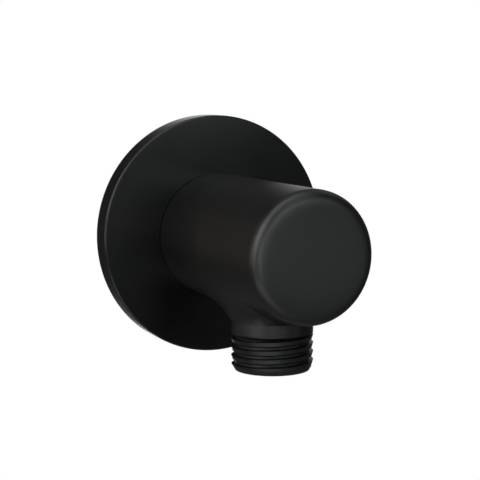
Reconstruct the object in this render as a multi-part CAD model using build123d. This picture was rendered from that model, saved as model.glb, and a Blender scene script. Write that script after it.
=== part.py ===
from build123d import *
import os
from math import cos, pi, radians, sin, sqrt, tan

# Wall outlet elbow for a shower hose, in millimetres, +Z up.
# The wall is the plane Y = 0, the barrel stands out of it towards -Y and the hose outlet points down.
# The origin is the middle of the flange's back face, on the axis of the barrel.

# Pipe thread of both connections: G 1/2, cut on plain turned ends
thread_diameter = 20.955
lead_in_depth = 1.1
lead_in_length = 1.4

# Wall flange
flange_diameter = 65.0
flange_thickness = 6.2
flange_edge_chamfer = 0.4
flange_rim_width = 3.5
flange_hub_wall = 2.6
flange_recess_depth = 3.2
seat_clearance = 0.1

# Gasket in the recess behind the flange
gasket_width = 7.0
gasket_clearance = 0.2

# Barrel, the seat that centres the flange, and the threaded nipple that goes into the wall
barrel_diameter = 33.4
projection = 63.4
end_rounding = 3.4
seam_chamfer = 0.35
seat_diameter = 22.4
nipple_length = 15.0
relief_width = 1.5
relief_depth = 1.3

# Hose outlet under the barrel
outlet_setback = 23.2
collar_gap = 1.4
collar_height = 3.3
outlet_thread_length = 9.6

# Neck between barrel and collar: parabolas from the collar's top edge to an oval on the barrel
neck_wrap = 60.0
neck_flange_gap = 1.0
neck_step = 0.1
neck_sink = 0.05

# Drilled waterway
inlet_bore_diameter = 14.0
outlet_bore_diameter = 13.5
drill_overrun = 1.5
drill_point_angle = 118.0
mouth_chamfer = 0.5

# How finely the neck is drawn
neck_angle_steps = 36
neck_rise_steps = 8
neck_tolerance = 0.001

barrel_radius = barrel_diameter / 2
thread_radius = thread_diameter / 2
flange_radius = flange_diameter / 2
seat_radius = seat_diameter / 2
inlet_bore_radius = inlet_bore_diameter / 2
outlet_bore_radius = outlet_bore_diameter / 2
outlet_offset = projection - outlet_setback
ring_radius = thread_radius + neck_step
land_radius = barrel_radius - neck_sink
collar_top = -(barrel_radius + collar_gap)
outlet_end = collar_top - collar_height - outlet_thread_length


def neck_landing(angle):
    """Point of the oval on the barrel where the neck ends, at an angle round the outlet.

    The oval starts close to the flange and ends halfway between the collar and the barrel's rounded end.
    """
    oval_back = -(flange_thickness + neck_flange_gap)
    oval_front = -(outlet_offset + ring_radius + projection - end_rounding) / 2
    x = land_radius * sin(radians(neck_wrap)) * cos(angle)
    y = (oval_back + oval_front) / 2 + (oval_back - oval_front) / 2 * sin(angle)
    return Vector(x, y, -sqrt(land_radius**2 - x**2))


def neck_point(angle, rise):
    """Point of the neck at an angle round the outlet; rise goes from the collar (0) to the barrel (1).

    The height above the barrel's tangent plane at the landing point falls as (1 - rise) squared: a parabola
    that leaves the collar with a slight corner and runs into the barrel without one.
    """
    ring = Vector(ring_radius * cos(angle), ring_radius * sin(angle) - outlet_offset, collar_top)
    land = neck_landing(angle)
    outward = Vector(land.X, 0, land.Z) / land_radius
    height = (ring - land).dot(outward)
    foot = ring - outward * height
    return foot + (land - foot) * rise + outward * (height * (1 - rise) ** 2)


def make_neck():
    """Blend between the barrel's underside and the collar, long towards the wall and short at the front."""
    angles = [2 * pi * i / neck_angle_steps for i in range(neck_angle_steps + 1)]
    rises = [i / neck_rise_steps for i in range(neck_rise_steps + 1)]
    grid = [[neck_point(angle, rise) for rise in rises] for angle in angles]
    side = Face.make_surface_from_array_of_points(grid, tol=neck_tolerance)
    ring, oval = side.edges().filter_by(lambda edge: edge.is_closed).sort_by(Axis.Z)
    oval_middle = (neck_landing(pi / 2) + neck_landing(-pi / 2)) / 2
    tuck = Shell.make_loft([Wire([oval]), Vertex(0, oval_middle.Y, 0)], ruled=True)
    return Solid(Shell([side, Face(Wire([ring]))] + tuck.faces()))


def make_barrel():
    """Barrel with a rounded end, and behind it the flange's seat, a relief groove and the threaded nipple.

    All of it is turned about the Y axis. The thread starts at the wall.
    """
    end = -projection
    shoulder = -flange_thickness
    with BuildPart() as barrel:
        with BuildSketch(Plane.XY):
            with BuildLine():
                Polyline((0, end), (barrel_radius - end_rounding, end))
                RadiusArc(
                    (barrel_radius - end_rounding, end), (barrel_radius, end + end_rounding), -end_rounding
                )
                Polyline(
                    (barrel_radius, end + end_rounding),
                    (barrel_radius, shoulder - seam_chamfer),
                    (barrel_radius - seam_chamfer, shoulder),
                    (seat_radius, shoulder),
                    (seat_radius, -relief_width),
                    (thread_radius - relief_depth, -relief_width),
                    (thread_radius - relief_depth, 0),
                    (thread_radius, 0),
                    (thread_radius, nipple_length - lead_in_length),
                    (thread_radius - lead_in_depth, nipple_length),
                    (0, nipple_length),
                    (0, end),
                )
            make_face()
        revolve(axis=Axis.Y)
    return barrel.part


def make_outlet():
    """Collar and threaded end under the barrel, turned about the outlet's own axis."""
    with BuildPart() as outlet:
        with BuildSketch(Plane.XZ):
            with BuildLine():
                Polyline(
                    (0, 0),
                    (thread_radius, 0),
                    (thread_radius, outlet_end + lead_in_length),
                    (thread_radius - lead_in_depth, outlet_end),
                    (0, outlet_end),
                    (0, 0),
                )
            make_face()
        revolve(axis=Axis.Z)
    return Pos(0, -outlet_offset, 0) * outlet.part


def make_drilling(radius, mouth, end, point_length):
    """Drilled hole along Z from a chamfered mouth down to its end, with the drill's point beyond it."""
    with BuildPart() as drilling:
        with BuildSketch(Plane.XZ):
            with BuildLine():
                Polyline(
                    (0, mouth),
                    (radius + mouth_chamfer, mouth),
                    (radius, mouth - mouth_chamfer),
                    (radius, end),
                    (0, end - point_length),
                    (0, mouth),
                )
            make_face()
        revolve(axis=Axis.Z)
    return drilling.part


def make_waterway():
    """Two drilled holes that meet: the inlet from the nipple's end and the outlet from below."""
    inlet_end = -(outlet_offset + outlet_bore_radius + drill_overrun)
    half_point = radians(drill_point_angle / 2)
    inlet_point = inlet_bore_radius / tan(half_point)
    outlet_point = outlet_bore_radius / tan(half_point)
    inlet = Rot(X=-90) * make_drilling(inlet_bore_radius, nipple_length, inlet_end, inlet_point)
    outlet = Rot(X=180) * make_drilling(outlet_bore_radius, -outlet_end, 0, outlet_point)
    return inlet + Pos(Y=-outlet_offset) * outlet


def make_elbow_body():
    """One cast and turned piece: barrel, neck, outlet, nipple and the waterway through them."""
    return make_barrel() + make_neck() + make_outlet() - make_waterway()


def make_wall_flange():
    """Disc held between the barrel's shoulder and the wall, recessed behind between rim and hub."""
    hole_radius = seat_radius + seat_clearance
    hub_radius = hole_radius + flange_hub_wall
    recess_radius = flange_radius - flange_rim_width
    with BuildPart() as flange:
        with BuildSketch(Plane.XY):
            with BuildLine():
                Polyline(
                    (flange_radius - flange_edge_chamfer, -flange_thickness),
                    (hole_radius, -flange_thickness),
                    (hole_radius, 0),
                    (hub_radius, 0),
                    (hub_radius, -flange_recess_depth),
                    (recess_radius, -flange_recess_depth),
                    (recess_radius, 0),
                    (flange_radius, 0),
                    (flange_radius, flange_edge_chamfer - flange_thickness),
                    (flange_radius - flange_edge_chamfer, -flange_thickness),
                )
            make_face()
        revolve(axis=Axis.Y)
    return flange.part


def make_flange_gasket():
    """Flat rubber ring that fills the outer part of the recess and ends flush with the wall."""
    outer_radius = flange_radius - flange_rim_width - gasket_clearance
    with BuildPart() as gasket:
        with BuildSketch(Plane.XZ):
            Circle(outer_radius)
            Circle(outer_radius - gasket_width, mode=Mode.SUBTRACT)
        extrude(amount=flange_recess_depth)
    return gasket.part


pieces = {
    "elbow_body": make_elbow_body(),
    "wall_flange": make_wall_flange(),
    "flange_gasket": make_flange_gasket(),
}
os.makedirs("parts", exist_ok=True)
for name, piece in pieces.items():
    export_step(piece, f"parts/{name}.step")
    print(name, round(piece.volume), "mm3", piece.bounding_box().size)
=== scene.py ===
# %% [markdown]
# # A wall outlet elbow in matte black
# The elbow carries water out of a wall and down into a shower hose. It is a brass casting, turned, drilled and
# coated, with a round flange that hides the hole in the wall and a rubber gasket behind the flange.
# The CAD model is loaded first as a fixed frame. Everything here is drawn in that frame, in metres, so each surface
# lands where the solid is and nothing has to be fitted by eye.

import bpy
import numpy as np
from mathutils import Matrix, Vector


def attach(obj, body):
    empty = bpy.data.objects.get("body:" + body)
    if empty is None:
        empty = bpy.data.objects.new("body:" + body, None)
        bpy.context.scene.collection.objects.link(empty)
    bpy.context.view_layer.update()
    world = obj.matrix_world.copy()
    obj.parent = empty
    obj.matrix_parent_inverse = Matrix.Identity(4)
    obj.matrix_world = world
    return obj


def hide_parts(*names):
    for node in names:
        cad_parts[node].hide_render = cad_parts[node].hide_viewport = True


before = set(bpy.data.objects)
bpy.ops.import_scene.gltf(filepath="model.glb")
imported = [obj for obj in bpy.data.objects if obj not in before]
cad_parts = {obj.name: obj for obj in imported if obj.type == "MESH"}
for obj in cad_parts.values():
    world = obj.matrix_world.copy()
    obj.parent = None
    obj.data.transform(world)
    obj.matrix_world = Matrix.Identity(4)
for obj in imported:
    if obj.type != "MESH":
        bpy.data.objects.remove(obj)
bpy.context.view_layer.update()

# %% [markdown]
# ## Grids that become meshes
# Every surface on this object is a grid of points: one parameter runs along the rows and one along the columns.
# A grid could be drawn face by face, but whole arrays are shorter and faster. The faces are the quads between
# neighbouring points. Several grids make one piece, so points that fall on each other are welded. A quad that closes
# to a line disappears, and one that closes at a pole becomes a triangle.

# %% From grids to one closed mesh
MILLIMETRE = 0.001
WELD = 1e-5
SHARP_EDGE = np.radians(32)


def grid_quads(rows, columns):
    """Corner numbers of the quads between neighbouring points of a grid that is stored row by row."""
    number = np.arange(rows * columns).reshape(rows, columns)
    corners = (number[:-1, :-1], number[1:, :-1], number[1:, 1:], number[:-1, 1:])
    return np.stack(corners, -1).reshape(-1, 4)


def weld_grids(grids):
    """Points and faces of the grids put together: points that agree to a hundred-thousandth of a millimetre are one."""
    sizes = np.cumsum([0] + [grid.size // 3 for grid in grids])
    points = np.concatenate([grid.reshape(-1, 3) for grid in grids])
    quads = np.concatenate([grid_quads(*grid.shape[:2]) + size for grid, size in zip(grids, sizes)])
    _, first, place = np.unique(np.round(points / WELD), axis=0, return_index=True, return_inverse=True)
    corners = place.reshape(-1)[quads]
    kept = corners != np.roll(corners, 1, axis=1)
    whole = kept.sum(axis=1) > 2
    return points[first], corners[whole], kept[whole]


def open_edges(corners):
    """How many edges lack a neighbour that runs the other way: none on a closed surface that faces one way.

    An edge from a to b has the number a n + b, with n points in all. Both directions give the same sorted numbers.
    """
    ends = np.roll(corners, -1, axis=1)
    real = corners != ends
    starts, ends = corners[real], ends[real]
    count = corners.max() + 1
    return int((np.sort(starts * count + ends) != np.sort(ends * count + starts)).sum())


def make_piece(name, grids, node, marks=None):
    """One object from grids in millimetres. It stands for a CAD node, rides on the body and shades smoothly."""
    points, corners, kept = weld_grids(grids)
    totals = kept.sum(axis=1)
    mesh = bpy.data.meshes.new(name)
    mesh.vertices.add(len(points))
    mesh.vertices.foreach_set("co", (points * MILLIMETRE).astype(np.float32).ravel())
    mesh.loops.add(int(totals.sum()))
    mesh.loops.foreach_set("vertex_index", corners[kept].astype(np.int32))
    mesh.polygons.add(len(totals))
    mesh.polygons.foreach_set("loop_start", (np.cumsum(totals) - totals).astype(np.int32))
    mesh.update(calc_edges=True)
    mesh.validate()
    mesh.shade_smooth()
    mesh.set_sharp_from_angle(angle=SHARP_EDGE)
    piece = bpy.data.objects.new(name, mesh)
    bpy.context.scene.collection.objects.link(piece)
    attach(piece, "root")
    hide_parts(node)
    for mark, formula in (marks or {}).items():
        values = formula(*points.T).astype(np.float32)
        mesh.attributes.new(mark, "FLOAT", "POINT").data.foreach_set("value", values)
    triangles = int((totals - 2).sum())
    print(f"{name}: {len(points)} points, {triangles} triangles, {open_edges(corners)} open edges")
    return piece


# %% [markdown]
# ## Turned surfaces
# Barrel, flange, gasket and nipple are all turned about the Y axis. A lathe could be imitated with a Screw or Spin
# modifier, but a formula keeps the points where they are wanted: the angle is counted from straight down, where the
# outlet is, and the columns are closest together there, because the neck needs them.

# %% Lathe
TURN = 2 * np.pi
WINDOW_HALF_ANGLE = np.radians(100)
WINDOW_COLUMNS = 96
WINDOW_SPREAD = np.radians(58)
FAR_SIDE_COLUMNS = 48


def lathe(profile, angles):
    """Surface turned about the Y axis. At an angle from straight down, x = r sin(angle), y = y, z = -r cos(angle)."""
    radius, depth = np.asarray(profile, float).T[:, :, None]
    return np.stack(np.broadcast_arrays(radius * np.sin(angles), depth, -radius * np.cos(angles)), -1)


window = np.tan(np.linspace(-WINDOW_SPREAD, WINDOW_SPREAD, WINDOW_COLUMNS + 1))
window *= WINDOW_HALF_ANGLE / window[-1]
far_side = np.linspace(WINDOW_HALF_ANGLE, TURN - WINDOW_HALF_ANGLE, FAR_SIDE_COLUMNS + 1)
round_angles = np.concatenate([window, far_side[1:]])
print("columns round the barrel:", len(round_angles) - 1)


def arc(middle, radius, start, end, steps):
    """Points of a circular arc in a profile, from one angle to another in degrees."""
    turn = np.radians(np.linspace(start, end, steps + 1))
    return np.stack([middle[0] + radius * np.cos(turn), middle[1] + radius * np.sin(turn)], -1)


# %% [markdown]
# ## The neck and the hole that it leaves in the barrel
# Under the barrel the metal flows into the outlet: a long sweep towards the wall and a short one at the front. It is
# the one cast shape on the elbow, and no fillet of a single radius gives it. Each line of the neck is a parabola. It
# starts on a ring at the collar and lands on an oval on the barrel, where it touches the barrel without a corner.
# The barrel is drawn unrolled: a flat window with an oval hole in it, whose rows step from the oval to the window's
# frame. The waterway meets inside in the same way, so one function serves both.

# %% Tube with an oval hole
WINDOW_SIDE_ROWS = 44
WINDOW_RINGS = 14
WINDOW_CROWDING = 1.4


def pierced_tube(radius, front, back, hole_reach, hole_middle, hole_half):
    """Tube about the Y axis with an oval hole below, as two grids, and the angle round the hole of each column.

    Unrolled, the hole is angle = asin(reach cos t), y = middle + half sin t. Row s of the window lies at
    hole + s (frame - hole), where frame is the rectangle round the hole and t points at it from the hole's middle.
    The rows are closest together at the hole.
    """
    sides = np.linspace(front, back, WINDOW_SIDE_ROWS + 1)
    right = np.stack([np.full_like(sides, WINDOW_HALF_ANGLE), sides], -1)
    rear = np.stack([window[::-1], np.full_like(window, back)], -1)
    left = right[::-1] * (-1, 1)
    fore = np.stack([window, np.full_like(window, front)], -1)
    rectangle = np.concatenate([right[:-1], rear[:-1], left[:-1], fore])
    across = rectangle[:, 0] / np.arcsin(hole_reach)
    along = (rectangle[:, 1] - hole_middle) / hole_half
    turn = np.unwrap(np.arctan2(along, across))
    hole = np.stack([np.arcsin(hole_reach * np.cos(turn)), hole_middle + hole_half * np.sin(turn)], -1)
    step = np.linspace(0, 1, WINDOW_RINGS + 1)[:, None, None] ** WINDOW_CROWDING
    angle, depth = np.moveaxis(hole + step * (rectangle - hole), -1, 0)
    holed = np.stack([radius * np.sin(angle), depth, -radius * np.cos(angle)], -1)
    plain = lathe(np.stack([np.full_like(sides, radius), sides], -1), far_side)
    return holed, plain, turn


# %% [markdown]
# The barrel's front is not a plain flat with a rounded corner: the flat runs softly into the rounding, as on a polished
# casting. Two fading exponentials give that crown. The barrel's wall ends where the rounding starts.

# %% Barrel wall with the neck's oval left out
BARREL_RADIUS = 16.7
BARREL_FRONT = -63.4
BARREL_SHOULDER = -6.2
END_ROUNDING = 2.8
END_CROWN_SLOPE = np.radians(27)
END_CROWN_FADES = np.array([0.9, 3.2])
END_CROWN_SHARES = np.array([0.42, 0.09])
SEAM_CHAMFER = 0.35
OUTLET_AXIS = -40.2
THREAD_RADIUS = 10.4775
NECK_STEP = 0.1
RING_RADIUS = THREAD_RADIUS + NECK_STEP
COLLAR_TOP = -18.1
OVAL_BACK = -7.2
OVAL_FRONT = -55.39
OVAL_REACH = np.sin(np.radians(60))

oval_middle = (OVAL_BACK + OVAL_FRONT) / 2
oval_half = (OVAL_BACK - OVAL_FRONT) / 2
crown_height = (END_CROWN_SHARES * END_CROWN_FADES).sum()
rounding_start = BARREL_FRONT + crown_height + END_ROUNDING * np.cos(END_CROWN_SLOPE)
barrel_wall, barrel_top, neck_turn = pierced_tube(
    BARREL_RADIUS, rounding_start, BARREL_SHOULDER - SEAM_CHAMFER, OVAL_REACH, oval_middle, oval_half
)
print("barrel wall:", barrel_wall.shape, "upper side:", barrel_top.shape)

# %% Neck
NECK_RINGS = 26


def neck(turn, rise):
    """Blend from the ring at the collar (rise 0) to the oval on the barrel (rise 1).

    With n the barrel's normal at the landing point Q and h the height of the ring's point P above the tangent plane
    there, the foot is F = P - h n and the surface is F + rise (Q - F) + h (1 - rise)^2 n.
    """
    ring_y = OUTLET_AXIS + RING_RADIUS * np.sin(turn)
    ring = np.stack([RING_RADIUS * np.cos(turn), ring_y, np.full_like(turn, COLLAR_TOP)], -1)
    angle = np.arcsin(OVAL_REACH * np.cos(turn))
    normal = np.stack([np.sin(angle), np.zeros_like(angle), -np.cos(angle)], -1)
    landing = BARREL_RADIUS * normal
    landing[:, 1] = oval_middle + oval_half * np.sin(turn)
    height = ((ring - landing) * normal).sum(axis=-1, keepdims=True)
    foot = ring - height * normal
    rise = rise[:, None, None]
    return foot + rise * (landing - foot) + height * (1 - rise) ** 2 * normal


neck_sweep = neck(neck_turn, np.linspace(0, 1, NECK_RINGS + 1))
print("neck:", neck_sweep.shape, "from z", COLLAR_TOP, "to the barrel")

# %% [markdown]
# ## Screw threads
# A thread could be a Screw modifier on a small profile, but then the ends would need cutting. Here the rows of the
# grid climb with the helix, so the crests and roots are rows of their own, and the rows stop at the two ends of the
# thread, where they fall together. The groove fades in below the collar and out again on the lead-in cone, so that both
# ends look turned. The crests of the outlet's thread are wide and slope to one side, as the photograph shows them.

# %% Thread
LEAD_IN_DEPTH = 0.95
LEAD_IN_LENGTH = 1.6
GROOVE_FADE = (0.3125, 0.9375)
ROWS_PER_FLANK = 3
SPARE_TURNS = 2


def ease(share):
    """0 up to 0, 1 from 1 on, and a smooth S between them: 3 t^2 - 2 t^3."""
    share = np.clip(share, 0, 1)
    return share**2 * (3 - 2 * share)


def threaded_wall(turn, start, end, groove, groove_place, run_out):
    """Radius and place along the axis of a threaded wall that runs from start to end, as two grids.

    The groove is a list of corners: how far each lies from the groove's middle, and how deep it is cut there. The
    last corner is one pitch away. Row i climbs with the helix, s = its corner's place + pitch turn / 2 pi, held
    between start and end. The radius is R - depth(s) fade(s), but never more than the lead-in cone at the end. The
    depth grows from nothing at the start, over the run-out, and fades on the cone.
    """
    corners, depths = np.array(groove, float).T
    pitch = corners[-1]
    share = np.arange(ROWS_PER_FLANK) / ROWS_PER_FLANK
    offsets = (corners[:-1, None] + np.diff(corners)[:, None] * share).ravel()
    low, high = min(start, end), max(start, end)
    first, last = np.floor((low - groove_place) / pitch), np.ceil((high - groove_place) / pitch)
    turns = np.arange(first - SPARE_TURNS, last + SPARE_TURNS)
    rows = (groove_place + turns[:, None] * pitch + offsets).ravel()
    climb = pitch * turn / TURN
    place = np.clip(rows[:, None] + climb, low, high)
    from_end = np.abs(place - end) / LEAD_IN_LENGTH
    on_cone = (from_end - GROOVE_FADE[0]) / (GROOVE_FADE[1] - GROOVE_FADE[0])
    fade = ease(np.abs(place - start) / run_out) * ease(on_cone)
    cut = np.interp((place - groove_place - climb) % pitch, corners, depths) * fade
    cone = LEAD_IN_DEPTH * (1 - from_end)
    return THREAD_RADIUS - np.maximum(cut, cone), place


# %% [markdown]
# ## Hose outlet
# The hose screws on here: a plain collar, the thread and a lip with a chamfered hole. The parts could be separate
# cylinders joined by a Boolean, but then the edges would need cleaning. Each part takes its columns from the neck or
# from the waterway instead, so they meet point by point, and the flat lip bridges the two.

# %% Collar and thread
COLLAR_BOTTOM = -21.1
COLLAR_EDGE = 0.15
COLLAR_ROWS = (-19.0, -20.0)
OUTLET_END = -31.0
OUTLET_GROOVE = [(0, 1.0), (0.2, 1.0), (0.65, 0.3), (1.67, 0), (1.95, 1.0), (2.2, 1.0)]
OUTLET_GROOVE_PLACE = -25.54
OUTLET_RUN_OUT = 1.1


def ring_about_outlet(turn, radius, height):
    """Rows about the outlet's axis: x = r cos(turn), y = axis + r sin(turn), z = height."""
    radius, height = np.broadcast_arrays(radius, height)
    return np.stack([radius * np.cos(turn), OUTLET_AXIS + radius * np.sin(turn), height + 0 * turn], -1)


collar_edges = (COLLAR_TOP, COLLAR_TOP - COLLAR_EDGE, *COLLAR_ROWS, COLLAR_BOTTOM + COLLAR_EDGE, COLLAR_BOTTOM)
collar = ring_about_outlet(neck_turn, THREAD_RADIUS, np.array(collar_edges)[:, None])
collar_step = np.stack([neck_sweep[0], collar[0]])
outlet_radius, outlet_height = threaded_wall(
    neck_turn, COLLAR_BOTTOM, OUTLET_END, OUTLET_GROOVE, OUTLET_GROOVE_PLACE, OUTLET_RUN_OUT
)
outlet_thread = ring_about_outlet(neck_turn, outlet_radius, outlet_height)[::-1]
print("outlet thread:", outlet_thread.shape, "crests", OUTLET_GROOVE[-1][0], "mm apart")

# %% [markdown]
# Inside, two drilled holes meet at a right angle: the inlet comes from the wall and the outlet from below. The inlet's
# wall is a pierced tube like the barrel, and the outlet's wall starts at its oval.

# %% Waterway from below, and the lip round its mouth
OUTLET_BORE_RADIUS = 6.75
OUTLET_BORE_ROWS = 13
INLET_BORE_RADIUS = 7.0
MOUTH_CHAMFER = 0.5
DRILL_OVERRUN = 1.5
LIP_STEPS = np.array([0, 0.06, 0.5, 0.94, 1])

bore_front = OUTLET_AXIS - OUTLET_BORE_RADIUS - DRILL_OVERRUN
bore_split = OUTLET_AXIS + OUTLET_BORE_RADIUS + DRILL_OVERRUN
bore_wall, bore_top, bore_turn = pierced_tube(
    INLET_BORE_RADIUS, bore_front, bore_split,
    OUTLET_BORE_RADIUS / INLET_BORE_RADIUS, OUTLET_AXIS, OUTLET_BORE_RADIUS,
)
outer_lip = ring_about_outlet(neck_turn, THREAD_RADIUS - LEAD_IN_DEPTH, OUTLET_END)
inner_lip = ring_about_outlet(bore_turn, OUTLET_BORE_RADIUS + MOUTH_CHAMFER, OUTLET_END)
outlet_lip = outer_lip + LIP_STEPS[:, None, None] * (inner_lip - outer_lip)
mouth = ring_about_outlet(bore_turn, OUTLET_BORE_RADIUS, OUTLET_END + MOUTH_CHAMFER)
outlet_mouth = np.stack([inner_lip, mouth])
outlet_bore = mouth + np.linspace(0, 1, OUTLET_BORE_ROWS)[:, None, None] * (bore_wall[0] - mouth)
print("waterway:", 2 * INLET_BORE_RADIUS, "mm from the wall,", 2 * OUTLET_BORE_RADIUS, "mm to the hose")

# %% [markdown]
# ## Front and back of the barrel
# In front is the crowned end. Behind the shoulder come the seat that centres the flange, a groove where the thread
# cutter ran out, the nipple that screws into the wall and the mouth of the waterway. All of it is turned, so each part
# is a profile on the lathe. Only the nipple's thread is not: its rows climb as the outlet's do.

# %% Crowned end
CROWN_ROWS = 30
CROWN_LAST_STEP = 0.1
END_ARC_STEPS = 18

crown_edge = BARREL_RADIUS - END_ROUNDING * (1 - np.sin(END_CROWN_SLOPE))
crown_radius = crown_edge * (1 - np.linspace(1, CROWN_LAST_STEP, CROWN_ROWS) ** 2)
crown_rise = np.exp((crown_radius[:, None] - crown_edge) / END_CROWN_FADES) @ (END_CROWN_SHARES * END_CROWN_FADES)
crown = np.stack([crown_radius, BARREL_FRONT + crown_rise], -1)
end_corner = (BARREL_RADIUS - END_ROUNDING, rounding_start)
end_arc = arc(end_corner, END_ROUNDING, np.degrees(END_CROWN_SLOPE) - 90, 0, END_ARC_STEPS)
barrel_end = lathe(np.concatenate([crown, end_arc]), round_angles)
print("crown:", round(float(crown_height), 2), "mm high, then a rounding of", END_ROUNDING, "mm")

# %% Seat, relief groove, nipple and inlet
SEAT_RADIUS = 11.2
RELIEF_RADIUS = 9.1775
RELIEF_WIDTH = 1.5
NIPPLE_LENGTH = 15.0
NIPPLE_GROOVE = [(0, 1.08), (0.15, 1.08), (0.71, 0), (1.104, 0), (1.664, 1.08), (1.814, 1.08)]
NIPPLE_GROOVE_PLACE = 0.9
NIPPLE_RUN_OUT = 1.2
INLET_ROWS = (0, -16)
POINT_SLOPE = np.tan(np.radians(59))

shoulder = lathe(
    [
        (BARREL_RADIUS, BARREL_SHOULDER - SEAM_CHAMFER),
        (BARREL_RADIUS - SEAM_CHAMFER, BARREL_SHOULDER),
        (SEAT_RADIUS, BARREL_SHOULDER),
        (SEAT_RADIUS, -RELIEF_WIDTH),
        (RELIEF_RADIUS, -RELIEF_WIDTH),
        (RELIEF_RADIUS, 0),
        (THREAD_RADIUS, 0),
    ],
    round_angles,
)
nipple_radius, nipple_place = threaded_wall(
    round_angles, 0, NIPPLE_LENGTH, NIPPLE_GROOVE, NIPPLE_GROOVE_PLACE, NIPPLE_RUN_OUT
)
nipple_thread = np.stack(
    [nipple_radius * np.sin(round_angles), nipple_place, -nipple_radius * np.cos(round_angles)], -1
)
inlet = lathe(
    [
        (THREAD_RADIUS - LEAD_IN_DEPTH, NIPPLE_LENGTH),
        (INLET_BORE_RADIUS + MOUTH_CHAMFER, NIPPLE_LENGTH),
        (INLET_BORE_RADIUS, NIPPLE_LENGTH - MOUTH_CHAMFER),
        *((INLET_BORE_RADIUS, depth) for depth in (*INLET_ROWS, bore_split)),
    ],
    round_angles,
)
inlet_point = lathe(
    [(INLET_BORE_RADIUS, bore_front), (0, bore_front - INLET_BORE_RADIUS / POINT_SLOPE)], round_angles
)
print("nipple thread:", nipple_thread.shape, "crests", NIPPLE_GROOVE[-1][0], "mm apart")

# %% [markdown]
# ## One body
# The elbow is one casting, so all its grids are welded into one closed mesh. A grid whose rows and columns run the
# other way is turned over first, which makes every face point outwards. The coat does not reach into the drilled
# holes. An attribute on the points marks them, so the finish can tell bare brass from coat without a second piece.

# %% Put the body together
WALL_MARGIN = 0.01
DRILL_POINT_ROOM = 5


def inside_waterway(x, y, z):
    """1 on the walls of the two drilled holes, which carry no coat, and 0 on the rest of the body."""
    inlet_wall = (np.hypot(x, z) < INLET_BORE_RADIUS + WALL_MARGIN) & (y > bore_front - DRILL_POINT_ROOM)
    outlet_wall = (np.hypot(x, y - OUTLET_AXIS) < OUTLET_BORE_RADIUS + WALL_MARGIN) & (z < 0)
    return np.where(inlet_wall | outlet_wall, 1.0, 0.0)


elbow_body = make_piece(
    "elbow_body_coated",
    [
        barrel_end, barrel_top, barrel_wall[:, ::-1], shoulder, nipple_thread, inlet, inlet_point,
        neck_sweep[:, ::-1], collar_step, collar, outlet_thread, outlet_lip, outlet_mouth, outlet_bore,
        bore_wall, bore_top[:, ::-1],
    ],
    "elbow_body",
    {"bare": inside_waterway},
)

# %% [markdown]
# ## Flange and gasket
# The flange is a turned disc with a recess behind, slipped over the seat before the elbow is screwed in. The gasket is
# a flat rubber ring in that recess. A cylinder with a Bevel modifier would give the disc, but not the recess. One
# closed profile on the lathe gives both, with small roundings where the light catches the edges.

# %% Flange
FLANGE_COLUMNS = 288
FLANGE_RADIUS = 32.5
FLANGE_EDGE = 0.45
FLANGE_HOLE = 11.3
FLANGE_HUB = 13.9
RECESS_RADIUS = 29.0
RECESS_DEPTH = -3.2
FACE_ROWS = (20, 28)
BACK_EDGE = 0.15
EDGE_ROW = 0.1
EDGE_STEPS = 8
BACK_EDGE_STEPS = 4

disc_angles = np.linspace(0, TURN, FLANGE_COLUMNS + 1)
edge_middle = (FLANGE_RADIUS - FLANGE_EDGE, BARREL_SHOULDER + FLANGE_EDGE)
flange_profile = np.concatenate(
    [
        [(FLANGE_HOLE, 0), (FLANGE_HOLE, BARREL_SHOULDER)],
        [(radius, BARREL_SHOULDER) for radius in (*FACE_ROWS, FLANGE_RADIUS - FLANGE_EDGE - EDGE_ROW)],
        arc(edge_middle, FLANGE_EDGE, -90, 0, EDGE_STEPS),
        [(FLANGE_RADIUS, BARREL_SHOULDER + FLANGE_EDGE + EDGE_ROW), (FLANGE_RADIUS, -BACK_EDGE - EDGE_ROW)],
        arc((FLANGE_RADIUS - BACK_EDGE, -BACK_EDGE), BACK_EDGE, 0, 90, BACK_EDGE_STEPS),
        [(RECESS_RADIUS, 0), (RECESS_RADIUS, RECESS_DEPTH), (FLANGE_HUB, RECESS_DEPTH), (FLANGE_HUB, 0)],
        [(FLANGE_HOLE, 0)],
    ]
)
wall_flange = make_piece("wall_flange_coated", [lathe(flange_profile, disc_angles)], "wall_flange")

# %% Gasket
GASKET_OUTER = 28.8
GASKET_INNER = 21.8
GASKET_EDGE = 0.3
GASKET_EDGE_STEPS = 5

inner, outer = GASKET_INNER + GASKET_EDGE, GASKET_OUTER - GASKET_EDGE
front, rear = RECESS_DEPTH + GASKET_EDGE, -GASKET_EDGE
gasket_profile = np.concatenate(
    [
        arc((inner, front), GASKET_EDGE, -180, -90, GASKET_EDGE_STEPS),
        arc((outer, front), GASKET_EDGE, -90, 0, GASKET_EDGE_STEPS),
        arc((outer, rear), GASKET_EDGE, 0, 90, GASKET_EDGE_STEPS),
        arc((inner, rear), GASKET_EDGE, 90, 180, GASKET_EDGE_STEPS),
        [(GASKET_INNER, front)],
    ]
)
flange_gasket = make_piece(
    "flange_gasket_rubber", [lathe(gasket_profile, disc_angles)], "flange_gasket"
)

# %% [markdown]
# ## Finishes
# The coat is a thin satin black lacquer. Up close it has a fine grain, a slow unevenness in its gloss and a hint of
# orange peel, which a single colour would lack. All of that comes from noise on Object coordinates, so it stays on
# the metal from any side. The turned flange is smoother than the casting, so it takes the same coat with more gloss.
# Shader maths reads best as plain sums, so a small class turns them into nodes.

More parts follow.
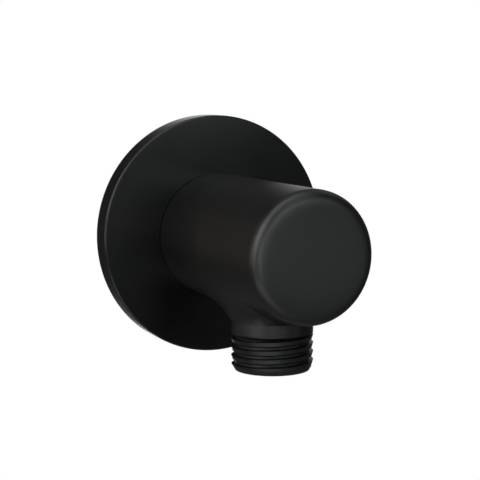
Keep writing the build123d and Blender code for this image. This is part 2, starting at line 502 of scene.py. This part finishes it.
# %% Sums of sockets
class Wire:
    """One output socket of a node tree. Sums and products of wires and numbers add Math nodes to the tree."""

    def __init__(self, tree, socket=None):
        self.tree = tree
        self.socket = socket

    def node(self, kind, inputs=None, output=0, **settings):
        """Adds a node: its settings are set first, then the values or links of its sockets, by name or number."""
        made = self.tree.nodes.new(kind)
        for name, value in settings.items():
            setattr(made, name, value)
        for name, value in (inputs or {}).items():
            if isinstance(value, Wire):
                self.tree.links.new(value.socket, made.inputs[name])
            else:
                made.inputs[name].default_value = value
        return Wire(self.tree, made.outputs[output] if made.outputs else None)

    def math(self, operation, first, second):
        """Adds a Math node on two wires or numbers."""
        return self.node("ShaderNodeMath", {0: first, 1: second}, operation=operation)

    def __add__(self, other):
        return self.math("ADD", self, other)

    def __sub__(self, other):
        return self.math("SUBTRACT", self, other)

    def __rsub__(self, other):
        return self.math("SUBTRACT", other, self)

    def __mul__(self, other):
        return self.math("MULTIPLY", self, other)

    __radd__ = __add__
    __rmul__ = __mul__

    def mix(self, first, second):
        """Colour that goes from first to second as this value goes from 0 to 1."""
        return self.node("ShaderNodeMix", {0: self, 6: first, 7: second}, output=2, data_type="RGBA")

    def noise(self, place, size, detail=2.0):
        """Noise between 0 and 1 whose lumps are about that many metres across."""
        return self.node("ShaderNodeTexNoise", {"Vector": place, "Scale": 1 / size, "Detail": detail})


def new_material(name):
    """An empty material, as a wire to build on, and the place on the piece that its patterns follow."""
    material = bpy.data.materials.new(name)
    material.use_nodes = True
    material.node_tree.nodes.clear()
    tree = Wire(material.node_tree)
    return material, tree, tree.node("ShaderNodeTexCoord", output="Object")


# %% Satin black coat
COAT_DARK = (0.0016, 0.0017, 0.0017, 1)
COAT_LIGHT = (0.0024, 0.0025, 0.0025, 1)
BRASS_DARK = (0.42, 0.27, 0.11, 1)
BRASS_LIGHT = (0.58, 0.40, 0.18, 1)
BODY_IOR, BODY_ROUGHNESS = 1.5, 0.39
FLANGE_IOR, FLANGE_ROUGHNESS = 1.48, 0.24
CLOUD_SIZE, GRAIN_SIZE, PEEL_SIZE = 0.012, 0.00035, 0.0016
CLOUD_GLOSS, GRAIN_GLOSS, BRASS_GLOSS = 0.08, 0.05, 0.08
PEEL_HEIGHT = 1.5
COAT_BUMP = {"Strength": 0.25, "Distance": 0.00001}


def coat_material(name, ior, roughness, waterway=False):
    """Black lacquer: noise of three sizes moves its tone, its gloss and its surface. Drilled holes stay bare brass."""
    material, tree, place = new_material(name)
    cloud = tree.noise(place, CLOUD_SIZE)
    grain = tree.noise(place, GRAIN_SIZE, 1.0)
    peel = tree.noise(place, PEEL_SIZE)
    colour = (0.6 * cloud + 0.4 * grain).mix(COAT_DARK, COAT_LIGHT)
    roughness = roughness + CLOUD_GLOSS * (cloud - 0.5) + GRAIN_GLOSS * (grain - 0.5)
    surface = {"IOR": ior}
    if waterway:
        bare = tree.node("ShaderNodeAttribute", output="Fac", attribute_name="bare")
        colour = bare.mix(colour, peel.mix(BRASS_DARK, BRASS_LIGHT))
        surface["Metallic"] = bare
        roughness = roughness + BRASS_GLOSS * bare
    bump = tree.node("ShaderNodeBump", {"Height": grain + PEEL_HEIGHT * peel} | COAT_BUMP)
    surface |= {"Base Color": colour, "Roughness": roughness, "Normal": bump}
    tree.node("ShaderNodeOutputMaterial", {"Surface": tree.node("ShaderNodeBsdfPrincipled", surface)})
    return material


elbow_body.data.materials.append(coat_material("satin_black_body", BODY_IOR, BODY_ROUGHNESS, waterway=True))
wall_flange.data.materials.append(coat_material("satin_black_flange", FLANGE_IOR, FLANGE_ROUGHNESS))
print("finishes:", [material.name for material in bpy.data.materials])

# %% [markdown]
# The gasket is moulded rubber: duller than the coat, with a pale bloom in patches and a fine tooth. It is a material
# of its own, because rubber shows its own colour where the coat shows mostly gloss.

# %% Rubber
RUBBER_DARK = (0.014, 0.014, 0.014, 1)
RUBBER_BLOOM = (0.032, 0.031, 0.029, 1)
RUBBER_ROUGHNESS = 0.55
BLOOM_SIZE, TOOTH_SIZE = 0.006, 0.0002
BLOOM_DULLING, TOOTH_DULLING = 0.25, 0.05
RUBBER_BUMP = {"Strength": 0.4, "Distance": 0.00002}


def rubber_material(name):
    """Black rubber: bloom follows slow noise, the tooth is fast noise, and the bloom is duller than the bare rubber."""
    material, tree, place = new_material(name)
    bloom = tree.noise(place, BLOOM_SIZE, 4.0)
    tooth = tree.noise(place, TOOTH_SIZE, 1.0)
    bump = tree.node("ShaderNodeBump", {"Height": tooth} | RUBBER_BUMP)
    surface = {
        "Base Color": bloom.mix(RUBBER_DARK, RUBBER_BLOOM),
        "Roughness": RUBBER_ROUGHNESS + BLOOM_DULLING * bloom + TOOTH_DULLING * tooth,
        "Normal": bump,
    }
    tree.node("ShaderNodeOutputMaterial", {"Surface": tree.node("ShaderNodeBsdfPrincipled", surface)})
    return material


flange_gasket.data.materials.append(rubber_material("black_rubber"))
print("gasket:", flange_gasket.data.materials[0].name)

# %% [markdown]
# ## Camera
# The photograph was taken from a little to the left and slightly above with a long lens. The numbers come from fitting
# a camera to the outline, with the thread's known diameter as the scale.

# %% Camera
AZIMUTH = np.radians(-25.756)
ELEVATION = np.radians(7.051)
DISTANCE = 372.216
TARGET = np.array([0, -25, -8.0])
AIM_RIGHT = -1.598
AIM_UP = 8.34
LENS = 105.87
SENSOR = 36
NEAREST = 0.01

back = np.array([np.sin(AZIMUTH) * np.cos(ELEVATION), -np.cos(AZIMUTH) * np.cos(ELEVATION), np.sin(ELEVATION)])
right = np.array([np.cos(AZIMUTH), np.sin(AZIMUTH), 0])
up = np.cross(back, right)
place = (TARGET + back * DISTANCE + right * AIM_RIGHT + up * AIM_UP) * MILLIMETRE
camera = bpy.data.objects.new("camera", bpy.data.cameras.new("camera"))
camera.data.lens = LENS
camera.data.sensor_width = SENSOR
camera.data.clip_start = NEAREST
camera.matrix_world = Matrix(np.vstack([np.column_stack([right, up, back, place]), [0, 0, 0, 1]]).tolist())
bpy.context.scene.collection.objects.link(camera)
bpy.context.scene.camera = camera
print("camera at", place.round(4))

# %% [markdown]
# ## Studio
# The coat is so dark that nearly all of what the eye sees on it is gloss, so the lamps decide how the form reads. The
# photograph shows a large soft light on the left, weaker ones in front and above, white behind the elbow, and very
# little from the right and from below. A picture of a studio could be wrapped round the scene, but area lamps are
# easier to read and to change. Each one is a softbox that faces the elbow. Its power follows from how bright its
# face is, where 1 is as bright as the white background. The front lamps are a little cool and the rear ones a little
# warm, because the photograph's end face is greenish and its barrel brownish.

# %% Softboxes
LAMP_AIM = np.array([0, -0.03, -0.005])
LAMP_DISTANCE = 0.8


def towards(azimuth, elevation):
    """Unit vector at an azimuth from straight in front, positive to the right, and an elevation, both in degrees."""
    azimuth, elevation = np.radians([azimuth, elevation])
    return np.array([np.sin(azimuth) * np.cos(elevation), -np.cos(azimuth) * np.cos(elevation), np.sin(elevation)])


def softbox(name, azimuth, elevation, width, height, brightness, tint=(1, 1, 1), distance=LAMP_DISTANCE):
    """Area lamp that faces the elbow. A matt face of area A and brightness L gives off pi A L watts."""
    lamp = bpy.data.lights.new(name, "AREA")
    lamp.shape = "RECTANGLE"
    lamp.size, lamp.size_y = width, height
    lamp.energy = np.pi * width * height * brightness
    lamp.color = tint
    outward = Vector(towards(azimuth, elevation))
    stand = bpy.data.objects.new(name, lamp)
    stand.location = Vector(LAMP_AIM) + distance * outward
    stand.rotation_euler = outward.to_track_quat("Z", "Y").to_euler()
    stand.visible_camera = False
    bpy.context.scene.collection.objects.link(stand)
    print(f"{name}: {lamp.energy:.2f} W at", np.round(stand.location, 2))


COOL = (0.9, 1.0, 0.96)
WARM = (1.0, 0.86, 0.8)

# %% Lamps on the left and in front
softbox("left_high", -68, 28, 0.6, 0.5, 3.6)
softbox("left_level", -70, 0, 0.6, 0.36, 1.6)
softbox("left_rear", -105, 5, 0.4, 0.4, 1.1, WARM)
softbox("left_low", -60, -36, 0.6, 0.3, 1.2)
softbox("front_left_high", -35, 25, 0.4, 0.4, 0.5)
softbox("front_left", -25, -2, 0.5, 0.3, 0.2)
softbox("front_left_low", -20, -36, 0.5, 0.3, 1.4, COOL)
softbox("front", 4, 1, 0.17, 0.28, 1.7, COOL)

# %% [markdown]
# The flange and the barrel's end are parallel, so from any far lamp they mirror the same light. Yet the end is an even
# grey, while the flange grows dark towards the barrel. Three small lamps stand so near that each one lights its own
# surface: the end, the upper flange and the rounding on the left of the end.

# %% Near lamps
NEUTRAL = (1, 1, 1)
softbox("end_near", 17, -2, 0.06, 0.03, 0.43, COOL, 0.09)
softbox("flange_near", 16, 18, 0.1, 0.03, 1.35, COOL, 0.15)
softbox("rounding_near", -20, 3, 0.04, 0.05, 2.3, NEUTRAL, 0.12)

# %% [markdown]
# What the right and the back of the elbow mirror is weak, or the black coat would turn grey there. The one strong lamp
# behind helps the white backdrop to draw the light streak along the top of the barrel.

# %% Lamps on the right, above and behind
softbox("front_right_low", 26, -32, 0.4, 0.3, 0.25, COOL)
softbox("right", 45, -10, 0.3, 0.4, 0.26, COOL)
softbox("front_high", 8, 22, 0.4, 0.3, 1.8, COOL)
softbox("above", 10, 52, 0.5, 0.4, 1.2, COOL)
softbox("above_left", -60, 62, 0.4, 0.4, 2.0)
softbox("overhead", 0, 84, 0.5, 0.4, 1.6)
softbox("rear_top", 172, 58, 0.5, 0.4, 0.3)
softbox("rear_left_high", -135, 30, 0.4, 0.4, 0.4, WARM)
softbox("rear_left", -135, 0, 0.4, 0.4, 0.25, WARM)
softbox("rear_left_low", -135, -30, 0.4, 0.4, 0.1, WARM)
softbox("rear", 160, -10, 0.4, 0.24, 2.4)
softbox("right_high", 108, 48, 0.5, 0.4, 0.5)
softbox("right_level", 105, 5, 0.5, 0.4, 0.1)

# %% [markdown]
# The white background is the world itself. Light Path tells which kind of ray asks for it. The camera's own rays, and
# rays through anything clear, see plain white. Gloss sees that white as well, but only behind the elbow, where the
# backdrop stands: it gives the bright streak along the top of the barrel and the thin bright rims. All other rays find
# a dim room. A bright world on all sides would be simpler, but it would wash the black coat out to grey.

# %% Backdrop
ROOM = 0.045
WHITE = (1, 1, 1, 1)
BACKDROP_EDGE = (0.87, 0.985)
BACKDROP_PLACE = towards(154, -4)


def ray(tree, kind):
    """1 for rays of that kind: Camera, Glossy or Transmission."""
    return tree.node("ShaderNodeLightPath", output=f"Is {kind} Ray")


def share_of_white(tree, gloss):
    """How much of the white background a ray sees: all from the camera or through glass, a share from gloss."""
    return tree.math("MINIMUM", ray(tree, "Camera") + ray(tree, "Transmission") + gloss * ray(tree, "Glossy"), 1.0)


world = bpy.data.worlds.new("studio")
bpy.context.scene.world = world
world.use_nodes = True
world.node_tree.nodes.clear()
room = Wire(world.node_tree)
looking = room.node("ShaderNodeTexCoord", output="Generated")
facing = room.node(
    "ShaderNodeVectorMath", {0: looking, 1: tuple(BACKDROP_PLACE)}, output="Value", operation="DOT_PRODUCT"
)
backdrop = room.node(
    "ShaderNodeMapRange",
    {"Value": facing, "From Min": BACKDROP_EDGE[0], "From Max": BACKDROP_EDGE[1]},
    interpolation_type="SMOOTHSTEP",
)
strength = ROOM + (1 - ROOM) * share_of_white(room, backdrop)
shine = room.node("ShaderNodeBackground", {"Color": WHITE, "Strength": strength})
room.node("ShaderNodeOutputWorld", {"Surface": shine})
bpy.context.scene.view_settings.view_transform = "Standard"
print("room:", ROOM, "backdrop towards", BACKDROP_PLACE.round(2))

# %% [markdown]
# The floor is a plain pale sheet. The elbow hangs on a wall about as high as a hand, so the floor lies well below. It
# is white to the camera too, but round the foot of the wall part of its own matt shade stays, and with it the elbow's
# shadow. Gloss sees little of it, because the coat shows no bright floor on its underside.

# %% Floor
FLOOR_HEIGHT = -1.1
FLOOR_HALF = 3.0
FLOOR_COLOUR = (0.7, 0.7, 0.69, 1)
FLOOR_GLOSS = 0.02
SHADE_KEPT = 0.35
SHADE_REACH = (0.3, 1.2)

corners = np.array([(-1, -1), (1, -1), (1, 1), (-1, 1)]) * FLOOR_HALF
sheet = bpy.data.meshes.new("floor")
sheet.from_pydata(np.column_stack([corners, np.full(4, FLOOR_HEIGHT)]).tolist(), [], [(0, 1, 2, 3)])
floor = bpy.data.objects.new("floor", sheet)
bpy.context.scene.collection.objects.link(floor)
floor_paint, paint, place_on_floor = new_material("pale_floor")
away = paint.node("ShaderNodeVectorMath", {0: place_on_floor, 1: (0, 0, -FLOOR_HEIGHT)}, operation="ADD")
distance = paint.node("ShaderNodeVectorMath", {0: away}, output="Value", operation="LENGTH")
near = paint.node(
    "ShaderNodeMapRange",
    {
        "Value": distance, "From Min": SHADE_REACH[0], "From Max": SHADE_REACH[1],
        "To Min": SHADE_KEPT, "To Max": 0.0,
    },
    interpolation_type="SMOOTHSTEP",
)
white = share_of_white(paint, FLOOR_GLOSS) * (1 - near)
matt = paint.node("ShaderNodeBsdfDiffuse", {"Color": FLOOR_COLOUR})
bright = paint.node("ShaderNodeEmission", {"Color": WHITE, "Strength": 1.0})
sheet_shade = paint.node("ShaderNodeMixShader", {0: white, 1: matt, 2: bright})
paint.node("ShaderNodeOutputMaterial", {"Surface": sheet_shade})
sheet.materials.append(floor_paint)
print("floor:", 2 * FLOOR_HALF, "m across,", -FLOOR_HEIGHT, "m below the barrel")
